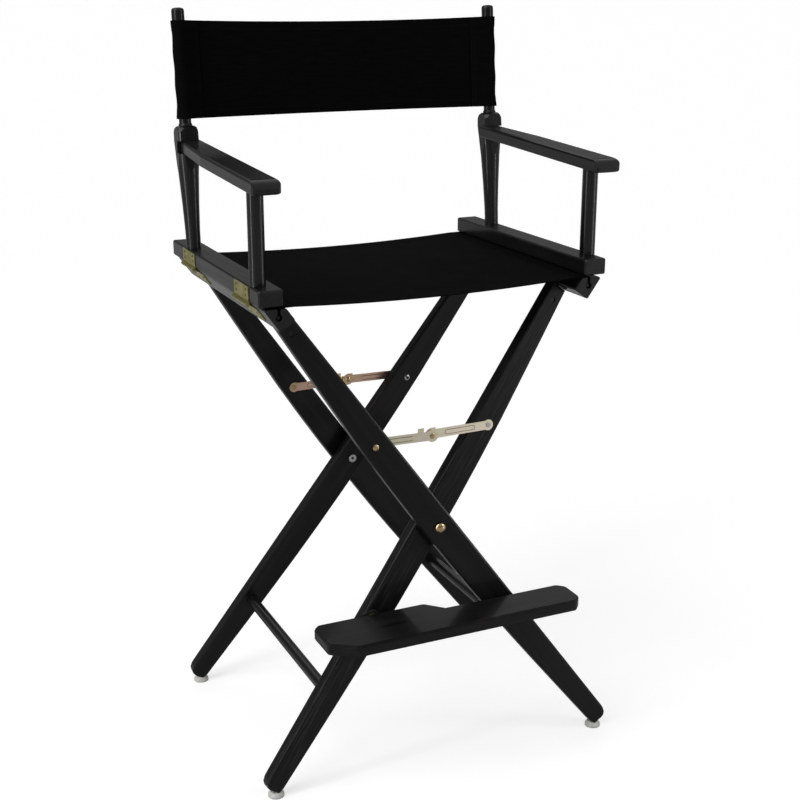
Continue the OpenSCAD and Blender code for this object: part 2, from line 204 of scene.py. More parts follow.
def strip_light(name, turn, away, width, tall, glow):
    """A tall soft box that stands away from the chair and faces it. The camera doesn't see it."""
    lamp = bpy.data.lights.new(name, "AREA")
    lamp.shape = "RECTANGLE"
    lamp.size, lamp.size_y = width, tall
    lamp.energy = glow * math.pi * width * tall
    turn = math.radians(turn)
    above_floor = 0.02
    strip = link(name, lamp)
    strip.location = (away * math.sin(turn), away * math.cos(turn), tall / 2 + above_floor)
    strip.rotation_euler = (math.pi / 2, 0, math.pi - turn)
    strip.visible_camera = False


soft_sun("key", strength=1.5, spread=50, turn=-76, height=46)
soft_sun("fill", strength=0.40, spread=70, turn=40, height=50)
soft_sun("back", strength=0.45, spread=60, turn=160, height=50)
strip_light("left_strip", turn=-100, away=1.7, width=0.16, tall=1.7, glow=9.0)
strip_light("right_strip", turn=128, away=1.7, width=0.13, tall=1.7, glow=8.5)

# %% [markdown]
# ## Shader groups
#
# Effects that several finishes share are node groups, each built once: the pores and bands of a
# board, the softened arris with its wear, the canvas weave, the cloudy film on plated metal, and
# the dust that rests on level faces. A group gives out masks, heights and normals. The Principled
# shader stays in each material, where the plain numbers of that finish are set.

# %% Group helper
def new_group(kind, name, takes, gives):
    """A node group with named sockets: its tree, what comes in, and the node its results go to."""
    tree = bpy.data.node_groups.new(name, kind)
    for label, (sort, value) in takes.items():
        socket = tree.interface.new_socket(label, in_out="INPUT", socket_type=sort)
        if value is not None:
            socket.default_value = value
    for label, sort in gives.items():
        tree.interface.new_socket(label, in_out="OUTPUT", socket_type=sort)
    return tree, tree.nodes.new("NodeGroupInput").outputs, tree.nodes.new("NodeGroupOutput")


NUMBER, VECTOR, SHAPE = "NodeSocketFloat", "NodeSocketVector", "NodeSocketGeometry"


def ramped(tree, value, low, high, to_low=0.0, to_high=1.0):
    """value spread from low..high to to_low..to_high, and held there outside."""
    spread = add(tree, "ShaderNodeMapRange", {
        "Value": value, "From Min": low, "From Max": high, "To Min": to_low, "To Max": to_high})
    return spread.outputs["Result"]


def scaled(tree, place, by):
    """Coordinates stretched by a different amount on each axis."""
    return add(tree, "ShaderNodeVectorMath", {0: place, 1: by}, operation="MULTIPLY").outputs[0]


def noise(tree, place, scale, **more):
    """The grey value of a Noise texture. more holds its Detail, Roughness or Distortion."""
    return add(tree, "ShaderNodeTexNoise", dict(more, Vector=place, Scale=scale)).outputs["Fac"]


# %% Board grain
grain, g_in, g_out = new_group(
    "ShaderNodeTree", "board grain",
    {"Vector": (VECTOR, None), "Pore length": (NUMBER, 0.09), "Pore width": (NUMBER, 0.0011),
     "Band width": (NUMBER, 0.016)},
    {"Pores": NUMBER, "Bands": NUMBER, "Height": NUMBER})
along = maths(grain, "DIVIDE", 1.0, g_in["Pore length"])
across = maths(grain, "DIVIDE", 1.0, g_in["Pore width"])
band = maths(grain, "DIVIDE", 1.0, g_in["Band width"])
pore_scale = add(grain, "ShaderNodeCombineXYZ", {"X": along, "Y": across, "Z": across}).outputs[0]
pores = noise(grain, scaled(grain, g_in["Vector"], pore_scale), 1.0, Detail=3.0, Roughness=0.6)
pores = ramped(grain, pores, 0.56, 0.74)
band_scale = add(grain, "ShaderNodeCombineXYZ",
                 {"X": maths(grain, "MULTIPLY", along, 0.25), "Y": band, "Z": band}).outputs[0]
bands = noise(grain, scaled(grain, g_in["Vector"], band_scale), 1.0, Detail=2.5, Distortion=0.7)
bands = ramped(grain, bands, 0.3, 0.7)
height = maths(grain, "SUBTRACT", maths(grain, "MULTIPLY", bands, 0.35), pores)
feed(grain, g_out, {"Pores": pores, "Bands": bands, "Height": height})
print("grain group:", [s.name for s in grain.interface.items_tree])

# %% Softened arris and wear
arris, a_in, a_out = new_group(
    "ShaderNodeTree", "soft arris",
    {"Vector": (VECTOR, None), "Radius": (NUMBER, 0.0015), "Wear": (NUMBER, 0.4)},
    {"Normal": VECTOR, "Worn": NUMBER})
rounded = add(arris, "ShaderNodeBevel", {"Radius": a_in["Radius"]}, samples=4).outputs["Normal"]
faced = add(arris, "ShaderNodeNewGeometry").outputs["True Normal"]
agree = add(arris, "ShaderNodeVectorMath", {0: rounded, 1: faced}, operation="DOT_PRODUCT")
edge = ramped(arris, agree.outputs["Value"], 0.995, 0.86)
broken = ramped(arris, noise(arris, a_in["Vector"], 55.0, Detail=4.0), 0.48, 0.66)
worn = maths(arris, "MULTIPLY", maths(arris, "MULTIPLY", edge, broken), a_in["Wear"])
feed(arris, a_out, {"Normal": rounded, "Worn": worn})
print("arris group:", [s.name for s in arris.interface.items_tree])

# %% Canvas weave
weave, w_in, w_out = new_group(
    "ShaderNodeTree", "canvas weave",
    {"Vector": (VECTOR, None), "Threads per metre": (NUMBER, 1100.0)},
    {"Height": NUMBER, "Gaps": NUMBER, "Slubs": NUMBER})
threads = add(weave, "ShaderNodeVectorMath", {0: w_in["Vector"], "Scale": w_in["Threads per metre"]},
              operation="SCALE").outputs[0]
over = add(weave, "ShaderNodeSeparateXYZ", {0: threads}).outputs


def wave(value, shift):
    """A thread's rise and fall, from 0 to 1, over one crossing."""
    turned = maths(weave, "MULTIPLY", maths(weave, "ADD", value, shift), math.pi)
    return maths(weave, "ABSOLUTE", maths(weave, "SINE", turned))


warp = wave(over["X"], 0.0)
weft = wave(over["Y"], 0.0)
cells = maths(weave, "ADD", maths(weave, "FLOOR", over["X"]), maths(weave, "FLOOR", over["Y"]))
which = maths(weave, "MODULO", maths(weave, "ABSOLUTE", cells), 2.0)
on_top = add(weave, "ShaderNodeMix", {0: maths(weave, "GREATER_THAN", which, 0.5), 2: warp, 3: weft})
cloth_height = maths(weave, "MULTIPLY", on_top.outputs[0],
                     maths(weave, "MULTIPLY_ADD", maths(weave, "MULTIPLY", warp, weft), 0.5, 0.5))
slubs = noise(weave, scaled(weave, w_in["Vector"], (30, 420, 1)), 1.0, Detail=3.0)
feed(weave, w_out, {
    "Height": cloth_height, "Gaps": ramped(weave, cloth_height, 0.35, 0.0),
    "Slubs": ramped(weave, slubs, 0.35, 0.7)})
print("weave group:", [s.name for s in weave.interface.items_tree])

# %% Plating film
film, f_in, f_out = new_group(
    "ShaderNodeTree", "plating film",
    {"Vector": (VECTOR, None), "Patch": (NUMBER, 0.03)},
    {"Clouds": NUMBER, "Scratches": NUMBER, "Height": NUMBER})
patch_scale = maths(film, "DIVIDE", 1.0, f_in["Patch"])
clouds = noise(film, f_in["Vector"], patch_scale, Detail=3.0, Distortion=0.8)
lines = noise(film, scaled(film, f_in["Vector"], (60, 1500, 1500)), 1.0, Detail=2.0)
feed(film, f_out, {
    "Clouds": ramped(film, clouds, 0.3, 0.7), "Scratches": ramped(film, lines, 0.5, 0.75),
    "Height": noise(film, f_in["Vector"], 900.0, Detail=2.0)})
print("film group:", [s.name for s in film.interface.items_tree])

# %% Resting dust
dust, d_in, d_out = new_group(
    "ShaderNodeTree", "resting dust",
    {"Vector": (VECTOR, None), "Amount": (NUMBER, 0.3)}, {"Mask": NUMBER})
facing = add(dust, "ShaderNodeNewGeometry").outputs["Normal"]
level = ramped(dust, add(dust, "ShaderNodeSeparateXYZ", {0: facing}).outputs["Z"], 0.7, 1.0)
drifts = ramped(dust, noise(dust, d_in["Vector"], 26.0, Detail=6.0), 0.42, 0.78)
settled = maths(dust, "MULTIPLY", level, drifts)
feed(dust, d_out, {"Mask": maths(dust, "MULTIPLY", settled, d_in["Amount"])})
print("dust group:", [s.name for s in dust.interface.items_tree])

# %% [markdown]
# ## Black lacquer over open-grained wood
#
# The boards are stained and sprayed black. The lacquer is thin, so the long pores still show as
# fine lines that break the reflections. The grain has to run along each board, and the legs, rails
# and posts all point in different directions. A Mapping node turns the pattern and shifts it, so
# each board has a material of its own, and one function makes them all.

# %% Material pieces
def place_group(tree, group, inputs):
    """A node group in a material."""
    return add(tree, "ShaderNodeGroup", inputs, node_tree=group).outputs


def blended(tree, share, one, other):
    """A colour between one and other."""
    mix = add(tree, "ShaderNodeMix", {0: share, 6: one, 7: other}, data_type="RGBA")
    return mix.outputs[2]


def bumped(tree, height, strength, depth, normal=None):
    """A normal with a height pressed into it, on top of another normal if there is one."""
    pressed = {"Height": height, "Strength": strength, "Distance": depth}
    if normal is not None:
        pressed["Normal"] = normal
    return add(tree, "ShaderNodeBump", pressed).outputs[0]


def turned_to(tree, place, direction, shift):
    """Coordinates whose X runs along direction, moved by shift so that no two boards match."""
    run = Vector(direction).normalized()
    side = run.cross(Vector((0, 0, 1)))
    if side.length < 0.2:                       # the board stands nearly upright
        side = run.cross(Vector((0, 1, 0)))
    side.normalize()
    turn = Matrix((run, side, run.cross(side)))
    mapping = add(tree, "ShaderNodeMapping", {
        "Vector": place, "Location": (shift, 1.7 * shift, 0.6 * shift),
        "Rotation": turn.to_euler("XYZ")})
    return mapping.outputs[0]


BLACK_STAIN = (0.0024, 0.0023, 0.0023, 1)
THIN_STAIN = (0.0085, 0.0080, 0.0078, 1)
# a paler pore fill for one leg: a painted highlight along its grain
PAINTED_PORE_HIGHLIGHT = (0.0620, 0.0600, 0.0580, 1)
BARE_WOOD = (0.060, 0.046, 0.034, 1)
HOUSE_DUST = (0.16, 0.155, 0.145, 1)


def lacquered(name, direction, shift, pore_or_highlight=BLACK_STAIN, shine=0.15):
    """Black lacquered wood whose grain runs in direction. pore_or_highlight fills its pores: black
    stain, or a paler painted highlight along the grain.
    """
    made, tree, shader, place = material(name)
    board = turned_to(tree, place, direction, shift)
    figure = place_group(tree, grain, {"Vector": board})
    edges = place_group(tree, arris, {"Vector": place, "Radius": 0.0014, "Wear": 0.30})
    dusty = place_group(tree, dust, {"Vector": place, "Amount": 0.03})
    stain = blended(tree, figure["Bands"], BLACK_STAIN, THIN_STAIN)
    stain = blended(tree, maths(tree, "MULTIPLY", figure["Pores"], 0.8), stain, pore_or_highlight)
    stain = blended(tree, edges["Worn"], stain, BARE_WOOD)
    matt = maths(tree, "MULTIPLY_ADD", figure["Bands"], 0.10, 0.34)
    matt = maths(tree, "MULTIPLY_ADD", figure["Pores"], 0.16, matt)
    feed(tree, shader, {
        "Base Color": blended(tree, dusty["Mask"], stain, HOUSE_DUST),
        "Roughness": maths(tree, "ADD", matt, dusty["Mask"]),
        "Normal": bumped(tree, figure["Height"], strength=0.35, depth=0.0003, normal=edges["Normal"]),
        "Specular IOR Level": 0.18, "Coat Weight": shine, "Coat Roughness": 0.12})
    return made


# %% [markdown]
# ## Canvas, thread and metals
#
# The seat and back are black cotton duck: matt, with a plain weave that only shows close up, and a
# faint sheen at grazing angles. The weave reads each piece's own UV map, which is laid out in metres
# of cloth, so the threads follow the fabric round the posts. The hinges are brass plate, the straps
# are zinc with a yellow and pink passivation film, and the glides are milky nylon.

# %% Canvas and thread
def duck(name, dark, light):
    """Woven cotton duck that reads the piece's own UV map, in metres."""
    made, tree, shader, place = material(name)
    fabric = add(tree, "ShaderNodeUVMap", uv_map="cloth").outputs[0]
    woven = place_group(tree, weave, {"Vector": fabric})
    dusty = place_group(tree, dust, {"Vector": place, "Amount": 0.012})
    # darker colour in the weave's low gaps is painted shade between the threads; the slubs are real
    # tone
    weave_shade_and_slubs = maths(tree, "MULTIPLY", woven["Height"], 0.45)
    weave_shade_and_slubs = maths(tree, "MULTIPLY_ADD", woven["Slubs"], 0.55, weave_shade_and_slubs)
    feed(tree, shader, {
        "Base Color": blended(tree, dusty["Mask"], blended(tree, weave_shade_and_slubs, dark, light), HOUSE_DUST),
        "Roughness": ramped(tree, woven["Gaps"], 0.0, 1.0, 0.86, 0.97),
        "Normal": bumped(tree, woven["Height"], strength=0.45, depth=0.0003),
        "Specular IOR Level": 0.03, "Sheen Weight": 0.003, "Sheen Roughness": 0.45})
    return made


black_duck = duck("black_duck", (0.0017, 0.0017, 0.0018, 1), (0.0050, 0.0049, 0.0050, 1))

thread, thread_tree, thread_shader, thread_place = material("black_thread")
twist = add(thread_tree, "ShaderNodeTexWave",
            {"Vector": thread_place, "Scale": 900.0, "Distortion": 1.0}).outputs["Fac"]
feed(thread_tree, thread_shader, {
    "Base Color": blended(thread_tree, twist, (0.003, 0.003, 0.003, 1), (0.008, 0.008, 0.008, 1)),
    "Normal": bumped(thread_tree, twist, strength=0.5, depth=0.0001),
    "Roughness": 0.75, "Specular IOR Level": 0.15})
print("cloth finishes:", black_duck.name, thread.name)


# %% Metals
def plated(name, bright, tint, tarnish, smooth, rough, patch):
    """A metal finish: bright and tint are its two film colours, tarnish the dark of its scratches."""
    made, tree, shader, place = material(name)
    coat = place_group(tree, film, {"Vector": place, "Patch": patch})
    edges = place_group(tree, arris, {"Vector": place, "Radius": 0.0004, "Wear": 0.6})
    colour = blended(tree, coat["Clouds"], bright, tint)
    colour = blended(tree, maths(tree, "MULTIPLY", coat["Scratches"], 0.45), colour, tarnish)
    feed(tree, shader, {
        "Base Color": blended(tree, edges["Worn"], colour, bright),
        "Roughness": ramped(tree, coat["Clouds"], 0.0, 1.0, smooth, rough),
        "Normal": bumped(tree, coat["Height"], strength=0.12, depth=0.0001, normal=edges["Normal"]),
        "Metallic": 1.0})
    return made


hinge_brass = plated("brass_plate", (0.52, 0.47, 0.17, 1), (0.36, 0.33, 0.11, 1),
                     (0.12, 0.10, 0.04, 1), smooth=0.28, rough=0.46, patch=0.02)
dark_brass = plated("dark_brass", (0.16, 0.14, 0.07, 1), (0.10, 0.09, 0.04, 1),
                    (0.03, 0.03, 0.02, 1), smooth=0.35, rough=0.55, patch=0.01)
rivet_brass = plated("brass_dome", (0.66, 0.52, 0.28, 1), (0.58, 0.40, 0.24, 1),
                     (0.20, 0.14, 0.08, 1), smooth=0.20, rough=0.36, patch=0.01)
pale_zinc = plated("pale_zinc", (1.0, 0.96, 0.70, 1), (1.0, 0.84, 0.74, 1),
                   (0.60, 0.52, 0.42, 1), smooth=0.30, rough=0.44, patch=0.03)
rosy_zinc = plated("rosy_zinc", (0.78, 0.66, 0.28, 1), (0.86, 0.52, 0.48, 1),
                   (0.40, 0.28, 0.24, 1), smooth=0.26, rough=0.40, patch=0.04)
# The rim finish is darker than the straps' zinc: a painted shade along the outline of the pressed rib.
rim_painted_shade = plated("rim_painted_shade", (0.34, 0.28, 0.18, 1), (0.30, 0.22, 0.20, 1),
                  (0.12, 0.10, 0.08, 1), smooth=0.30, rough=0.45, patch=0.02)
dark_steel = plated("dark_steel", (0.05, 0.05, 0.05, 1), (0.03, 0.03, 0.03, 1),
                    (0.01, 0.01, 0.01, 1), smooth=0.40, rough=0.60, patch=0.01)
rivet_steel = plated("rivet_steel", (0.70, 0.70, 0.69, 1), (0.55, 0.55, 0.55, 1),
                     (0.25, 0.25, 0.25, 1), smooth=0.25, rough=0.40, patch=0.01)
print("metals:", hinge_brass.name, rivet_brass.name, pale_zinc.name, rosy_zinc.name, rivet_steel.name)

# %% Painted bracket steel
bracket_paint, p_tree, p_shader, p_place = material("painted_steel")
p_edges = place_group(p_tree, arris, {"Vector": p_place, "Radius": 0.0005, "Wear": 0.8})
orange_peel = noise(p_tree, p_place, 420.0, Detail=2.0)
p_colour = blended(p_tree, orange_peel, (0.008, 0.008, 0.008, 1), (0.016, 0.016, 0.016, 1))
feed(p_tree, p_shader, {
    "Base Color": blended(p_tree, p_edges["Worn"], p_colour, (0.3, 0.3, 0.3, 1)),
    "Roughness": ramped(p_tree, orange_peel, 0.3, 0.7, 0.34, 0.5),
    "Normal": bumped(p_tree, orange_peel, strength=0.2, depth=0.0001, normal=p_edges["Normal"])})
print("paint:", bracket_paint.name)

# %% Milky nylon
nylon, n_tree, n_shader, n_place = material("milky_nylon")
n_edges = place_group(n_tree, arris, {"Vector": n_place, "Radius": 0.0012, "Wear": 0.5})
scuffs = noise(n_tree, n_place, 240.0, Detail=5.0)
scuffed = ramped(n_tree, scuffs, 0.45, 0.8)
feed(n_tree, n_shader, {
    "Base Color": blended(n_tree, scuffed, (0.66, 0.66, 0.63, 1), (0.42, 0.41, 0.38, 1)),
    "Roughness": ramped(n_tree, scuffs, 0.3, 0.8, 0.32, 0.5), "Normal": n_edges["Normal"],
    "Subsurface Weight": 0.35, "Subsurface Scale": 0.004})
print("plastic:", nylon.name)

# %% [markdown]
# ## Which way each board runs
#
# The frame's record knows where each folding strap is riveted and the axis that it turns about. That
# axis is square to the face of its leg, and the leg leans only sideways and splays only front to
# back. So the leg's own directions come from the axis alone, with no angle copied by hand.

# %% Leg directions
SIDES = ("a", "b")
ENDS = ("front", "rear")


def leg_axes(end, side):
    """A leg's directions, through its thickness and up its length, and the place of its rivet."""
    joint = joints[f"brace_{end}_{side}_fold"]
    through = Vector(joint["axis"]).normalized()
    across = through.cross(Vector((0, 1, 0))).normalized()
    up = across.cross(through).normalized()
    if up.z < 0:
        up = -up
    return through, up, Vector(joint["pos_m"])


for end in ENDS:
    for side in SIDES:
        lean = math.degrees(leg_axes(end, side)[1].angle(Vector((0, 0, 1))))
        print(f"leg_{end}_{side} leans {lean:.1f} degrees from upright")

# %% [markdown]
# ## Finishes on the CAD pieces
#
# Each CAD node keeps its shape and takes a material in its slots. The slots are linked to the object
# and not the mesh, because the mesh belongs to the frame. Each board has its own shift, so that the
# grain doesn't repeat side by side. The inner front leg has paler pores than the rest: a painted
# highlight along its grain.

# %% Dress the nodes
def dress(node, finish):
    """Gives a CAD node one finish."""
    thing = nodes[node]
    for slot in thing.material_slots:
        slot.link = "OBJECT"
        slot.material = finish


shift_of_end = {"front": 1.85, "rear": 1.48}
shift_of_side = {"a": -1, "b": 1}
for end in ENDS:
    for side in SIDES:
        # one leg's pores are filled paler: a painted highlight along its grain
        pore_or_highlight = PAINTED_PORE_HIGHLIGHT if (end, side) == ("front", "b") else BLACK_STAIN
        shift = shift_of_end[end] + shift_of_side[side]
        up = leg_axes(end, side)[1]
        dress(f"leg_{end}_{side}", lacquered(f"lacquer_leg_{end}_{side}", up, shift, pore_or_highlight))

front_to_back = {
    "seat_rail_a": 0.0, "seat_rail_b": 1.3, "arm_rail_left": 2.1, "arm_rail_right": 3.7,
    "armrest_left": 4.9, "armrest_right": 5.3, "stretcher_a": 6.1, "stretcher_b": 7.7}
for node, shift in front_to_back.items():
    dress(node, lacquered(f"lacquer_{node}", (0, 1, 0), shift, shine=0.45))
for node, shift in {"post_front_left": 0.2, "post_front_right": 1.1}.items():
    dress(node, lacquered(f"lacquer_{node}", (0, 0, 1), shift, shine=0.42))
rake = math.radians(4.9)                        # how far the rear posts lean back
for node, shift in {"post_rear_left": 2.3, "post_rear_right": 3.2}.items():
    dress(node, lacquered(f"lacquer_{node}", (0, math.sin(rake), math.cos(rake)), shift, shine=0.42))
dress("footrest", lacquered("lacquer_footrest", (1, 0, 0), 0.8))

hardware = {
    "pivot_bolt_front": rivet_brass, "pivot_bolt_rear": rivet_steel,
    "brace_rivets_a": rivet_brass, "brace_rivets_b": rivet_steel, "brace_pin": rivet_brass,
    "brace_front": pale_zinc, "brace_rear": rosy_zinc,
    "lower_hinges": hinge_brass, "upper_hinges": hinge_brass,
    "hem_rod": dark_steel, "leg_bolts": dark_steel, "footrest_pivot": rivet_brass,
    "footrest_cleat": bracket_paint, "footrest_bracket": bracket_paint, "glides": nylon}
for node in nodes:
    for start, finish in hardware.items():
        if node.startswith(start):
            dress(node, finish)
print("dressed", sum(1 for n in nodes.values() if n.material_slots), "nodes")

# %% [markdown]
# ## Cloth helper
#
# A sheet of cloth is a grid of points, given by a function of two shares that run from 0 to 1. The
# same function gives the cloth coordinates, in metres, for the UV map. A Solidify modifier gives the
# sheet its thickness on both sides of the grid, and Geometry Nodes results are frozen the same way:
# the evaluated object becomes a plain mesh, and the modifier goes.

# %% Making and freezing pieces
def frozen(thing):
    """The same object with its modifiers turned into plain mesh."""
    bpy.context.view_layer.update()
    graph = bpy.context.evaluated_depsgraph_get()
    mesh = bpy.data.meshes.new_from_object(thing.evaluated_get(graph), depsgraph=graph,
                                           preserve_all_data_layers=True)
    thing.modifiers.clear()
    old, thing.data = thing.data, mesh
    mesh.name = thing.name
    bpy.data.meshes.remove(old)
    return thing


def cloth(name, around, along, point, thickness):
    """A sheet with around x along faces. point(u, v) gives a place and its cloth coordinates."""
    places, flat = [], []
    for j in range(along + 1):
        for i in range(around + 1):
            place, at = point(i / around, j / along)
            places.append(place)
            flat.append(at)
    row = around + 1
    faces = [(j * row + i, j * row + i + 1, (j + 1) * row + i + 1, (j + 1) * row + i)
             for j in range(along) for i in range(around)]
    mesh = bpy.data.meshes.new(name)
    mesh.from_pydata(places, [], faces)
    layer = mesh.uv_layers.new(name="cloth")
    for loop in mesh.loops:
        layer.data[loop.index].uv = flat[loop.vertex_index]
    mesh.materials.append(black_duck)
    mesh.polygons.foreach_set("use_smooth", [True] * len(mesh.polygons))
    thing = link(name, mesh)
    wall = thing.modifiers.new("thickness", "SOLIDIFY")
    wall.thickness = thickness
    wall.offset = 0
    wall.use_even_offset = True
    return frozen(thing)


def along_path(path, share):
    """The point at a share of a polyline's length, and the length up to there."""
    steps = [(b - a).length for a, b in zip(path, path[1:])]
    left = share * sum(steps)
    for a, b, step in zip(path, path[1:], steps):
        if left <= step or b is path[-1]:
            return a.lerp(b, min(left / step, 1.0)), share * sum(steps)
        left -= step


def arc(centre, radius, start, stop, count):
    """Points of an arc in a plane, from start to stop degrees."""
    turns = [math.radians(start + (stop - start) * k / count) for k in range(count + 1)]
    return [Vector((centre[0] + radius * math.cos(t), centre[1] + radius * math.sin(t))) for t in turns]


# %% [markdown]
# ## The seat canvas
#
# The seat is one cloth. Each side goes down a slot in its seat rail and round a steel rod, which
# locks it when somebody sits. When the chair folds, the rails tip but the arms stay level, and the
# cloth bunches up between them. Here the seat is three pieces that meet edge to edge: an edge band
# on each side, which bends from its rail up to the seat's level, and a middle.

# %% Sizes of the seat
rail_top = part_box("seat_rail_a")[1].z
rod_low, rod_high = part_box("hem_rod_a")
rod = Vector(((rod_low.x + rod_high.x) / 2, (rod_low.z + rod_high.z) / 2))
seat_front, seat_back = (corner.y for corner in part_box("seat_sling"))
canvas = 0.0012                                 # thickness of the cloth
seat_level = rail_top + 0.00105
sag = 0.006
sag_from = 0.2305                               # the seat is level outside this
band_end = 0.232                                # where the edge bands meet the middle
hem = 0.024                                     # width of the turned hems

crossing = Vector(joints["fold"]["pos_m"])


# %% Seat bands and middle
def hem_step(inside, width, ply, ramp):
    """How proud a hem of some width stands at a distance inside the edge. Its step is ramp wide."""
    return ply * max(0.0, min(1.0, (width - inside) / ramp + 0.5))


def hem_lift(y):
    """The turned hems at the seat's front and back edges are a second layer."""
    return hem_step(min(y - seat_front, seat_back - y), hem, ply=0.0007, ramp=0.002)


def band_path():
    """The left edge band in X and Z, from the far side of the rod up the slot and over the rail."""
    half_gap, wrap, bend = 0.0009, 0.0035, 0.0022
    outer, inner = rod.x - half_gap, rod.x + half_gap
    neck = rod.y + 0.0072
    path = [Vector((outer, rail_top - 0.002)), Vector((outer, neck))]
    path += arc(rod, wrap, 165, 375, 16)
    path += [Vector((inner, neck))]
    path += arc((inner + bend, seat_level - bend), bend, 180, 90, 6)
    return path + [Vector((x, seat_level)) for x in (-0.246, -0.2405, -0.236, -band_end)]


def seat_band(side):
    """An edge band of the seat. side is -1 for the left and 1 for the right."""
    path = band_path()

    def point(u, v):
        flat, length = along_path(path, u)
        y = seat_front + (seat_back - seat_front) * v
        lift = hem_lift(y) if flat.y > rail_top else 0.0
        return (-side * flat.x, y, flat.y + lift * 0.5), (length, y)

    hand, letter = ("left", "a") if side < 0 else ("right", "b")
    piece = cloth(f"seat_edge_{hand}", 72, 90, point, canvas)
    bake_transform(piece)
    along_path(path, 1.0)[1]
    return piece


def seat_height(x, y):
    """The middle of the seat sags a little, with faint pulls running from the corners."""
    hollow = max(0.0, 1 - (x / sag_from) ** 2)
    length = (y - seat_front) / (seat_back - seat_front)
    pulls = 0.00022 * math.sin(34 * x + 9 * length) * math.sin(math.pi * length)
    edge_slack = 0.0009 * math.cos(2 * math.pi * length)
    return seat_level - hollow * (sag + edge_slack) + pulls * hollow + hem_lift(y) * 0.5


def seat_point(u, v):
    """A place on the seat's middle piece, and its cloth coordinates."""
    x = -band_end + 2 * band_end * u
    y = seat_front + (seat_back - seat_front) * v
    return (x, y, seat_height(x, y)), (x + 1, y)


seat_canvas = cloth("seat_canvas", 96, 90, seat_point, canvas)
seat_edges = [seat_band(side) for side in (-1, 1)]
print("seat pieces:", seat_canvas.name, [e.name for e in seat_edges])

# %% [markdown]
# ## The back canvas
#
# The back is a strip with a sewn pocket at each end. The pockets slide down over the rear posts, and
# the cloth between them is pulled flat. A pocket is a loop: round the outside of its post, with the
# front and back layers meeting at a seam a few centimetres in. The posts rake back, so the cloth is
# drawn in their plane and then tipped.

# %% Sizes of the back
sling_low, sling_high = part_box("back_sling")
pocket_depth = 0.012                            # from a post's middle to the outside of the sling
post_x = (sling_high.x - sling_low.x) / 2 - pocket_depth
post_y = 0.152 + 0.0225                         # where the posts stand on the arm rails
foot_of_post = Vector((0, post_y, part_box("arm_rail_left")[1].z))
up_post = Vector((0, math.sin(rake), math.cos(rake)))
back_of_post = Vector((0, math.cos(rake), -math.sin(rake)))
low_edge, high_edge = 1.011, 1.161              # heights of the cloth's edges above the floor
bottom = (low_edge - foot_of_post.z) / math.cos(rake)
top = (high_edge - foot_of_post.z) / math.cos(rake)
back_hem = 0.016
pocket = 0.0112                                 # radius of the loop round a post
seam = Vector((post_x - 0.032, 0.0052))         # where the two layers meet, from above
print(f"posts {2 * post_x * 1000:.0f} mm apart, cloth {1000 * (top - bottom):.0f} mm tall")


def on_back(x, depth, height):
    """A place on the raked back: x across, depth behind the posts' line, height up the posts."""
    return Vector((x, 0, 0)) + foot_of_post + back_of_post * depth + up_post * height


def edge_height(x, v):
    """Height up the post of a share of the cloth. The free edges curve in a little mid-span."""
    curve = max(0.0, 1 - (x / seam.x) ** 2)
    low, high = bottom + 0.0012 * curve, top - 0.0035 * curve
    return low + (high - low) * v


def hem_swell(v):
    """The turned hems at the top and bottom edges, as extra thickness."""
    return hem_step(min(v, 1 - v) * (top - bottom), back_hem, ply=0.0006, ramp=0.0015)


# %% Pockets and panel
def pocket_path():
    """The right pocket seen from above: seam, back layer, round the post, front layer, seam."""
    to_seam = seam - Vector((post_x, 0))
    spread = math.degrees(math.acos(pocket / to_seam.length))
    towards = math.degrees(math.atan2(to_seam.y, to_seam.x))
    loop = arc((post_x, 0), pocket, towards - spread, towards - 360 + spread, 28)
    return [seam + Vector((0, 0.0006))] + loop + [seam + Vector((0, -0.0006))]


past_seam = 0.99                                # the edges go on curving a little past the seam


def back_pocket(side):
    """A sewn pocket of the back. side is -1 for the left and 1 for the right."""
    path = pocket_path()

    def point(u, v):
        flat, length = along_path(path, u)
        height = edge_height(past_seam * flat.x, v)
        from_post = flat - Vector((post_x, 0))
        free = min(1.0, 7 * min(u, 1 - u))      # both ends of the loop stay on the seam
        flare = 1 + 0.07 * free * max(0.0, 1 - 9 * v) ** 2      # its mouth opens a little
        place = Vector((post_x, 0)) + from_post * flare
        slack = 0.0005 * math.sin(19 * v + 3 * u)
        place = place + from_post.normalized() * free * (slack + hem_swell(v) * 0.5)
        return on_back(side * place.x, place.y, height), (length, height)

    hand = "left" if side < 0 else "right"
    piece = cloth(f"back_pocket_{hand}", 64, 60, point, 0.0010)
    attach(piece, f"arm_{hand}")
    along_path(path, 1.0)[1]
    return piece


def back_depth(x, v):
    """The panel bows back very slightly, with soft upright pulls near the pockets."""
    share = x / seam.x
    bow = 0.0022 * (1 - share * share)
    pulls = 0.0004 * math.sin(55 * x + 4 * v) * share * share
    return seam.y + bow + pulls


def back_point(u, v):
    """A place on the back's middle piece, and its cloth coordinates."""
    x = -seam.x + 2 * seam.x * u
    height = edge_height(x, v)
    return on_back(x, back_depth(x, v) - hem_swell(v) * 0.3, height), (x + 1, height)


back_canvas = cloth("back_canvas", 110, 60, back_point, 0.0013)
back_pockets = [back_pocket(side) for side in (-1, 1)]
print("back pieces:", back_canvas.name, [p.name for p in back_pockets])

# %% [markdown]
# ## Riding the cloth
#
# Both middles ride on the left arm, each with a mesh of its own.

# %% Ride on the left arm
def bunches(piece):
    """piece rides on the left arm, with a mesh of its own."""
    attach(piece, "arm_left")
    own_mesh(piece)


bunches(seat_canvas)
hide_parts("seat_sling")
bunches(back_canvas)
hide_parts("back_sling")
print("cloth declared:", seat_canvas.name, back_canvas.name)

